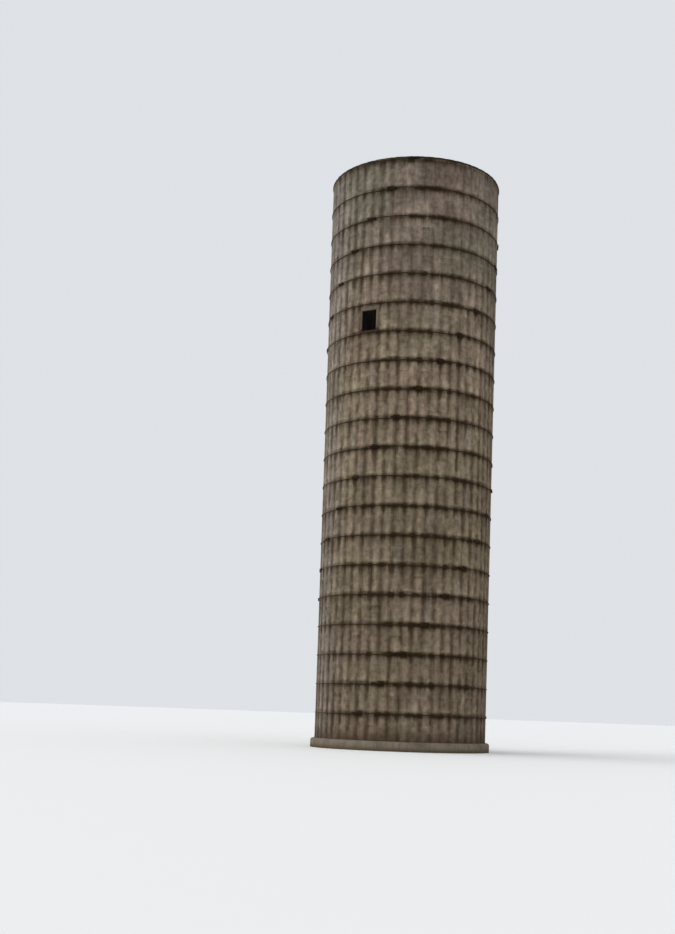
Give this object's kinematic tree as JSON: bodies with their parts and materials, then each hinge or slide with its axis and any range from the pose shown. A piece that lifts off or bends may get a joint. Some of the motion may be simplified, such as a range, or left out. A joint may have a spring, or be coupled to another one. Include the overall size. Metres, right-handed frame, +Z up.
{
  "type": "concrete stave silo",
  "caption": "Tall round farm silo of ribbed concrete staves tied by steel hoops with cast lugs, open at the top, on a cast curb and floor slab, with one small framed window.",
  "frame": {"origin": "centre of the underside, at ground level, on the silo's axis", "axes": "+Z up along the silo's axis, -Y out of the window, +X to the right seen from the window's side"},
  "size_m": [4.8, 4.8, 15.49],
  "materials": {
    "staves": "rough weathered concrete, stained brown below each hoop",
    "foundation": "rough cast concrete",
    "floor": "trowelled concrete, dusty",
    "window_frame": "cast concrete",
    "hoops": "dark rust"
  },
  "bodies": {
    "root": {"foundation_curb": "foundation", "floor_slab": "floor", "stave_wall_01": "staves", "stave_wall_02": "staves", "stave_wall_03": "staves", "stave_wall_04": "staves", "stave_wall_05": "staves", "stave_wall_06": "staves", "stave_wall_07": "staves", "stave_wall_08": "staves", "stave_wall_09": "staves", "stave_wall_10": "staves", "stave_wall_11": "staves", "stave_wall_12": "staves", "stave_wall_13": "staves", "stave_wall_14": "staves", "stave_wall_15": "staves", "stave_wall_16": "staves", "stave_wall_17": "staves", "stave_wall_18": "staves", "stave_wall_19": "staves", "stave_wall_20": "staves", "stave_wall_21": "staves", "stave_wall_22": "staves", "stave_wall_23": "staves", "stave_wall_24": "staves", "stave_wall_25": "staves", "front_wall_below_window": "staves", "front_wall_above_window": "staves", "window_sill": "window_frame", "window_head": "window_frame", "window_jamb_left": "window_frame", "window_jamb_right": "window_frame", "hoop_01": "hoops", "hoop_02": "hoops", "hoop_03": "hoops", "hoop_04": "hoops", "hoop_05": "hoops", "hoop_06": "hoops", "hoop_07": "hoops", "hoop_08": "hoops", "hoop_09": "hoops", "hoop_10": "hoops", "hoop_11": "hoops", "hoop_12": "hoops", "hoop_13": "hoops", "hoop_14": "hoops", "hoop_15": "hoops", "hoop_16": "hoops", "hoop_17": "hoops", "hoop_18": "hoops", "hoop_19": "hoops", "hoop_20": "hoops"}
  },
  "joints": []
}
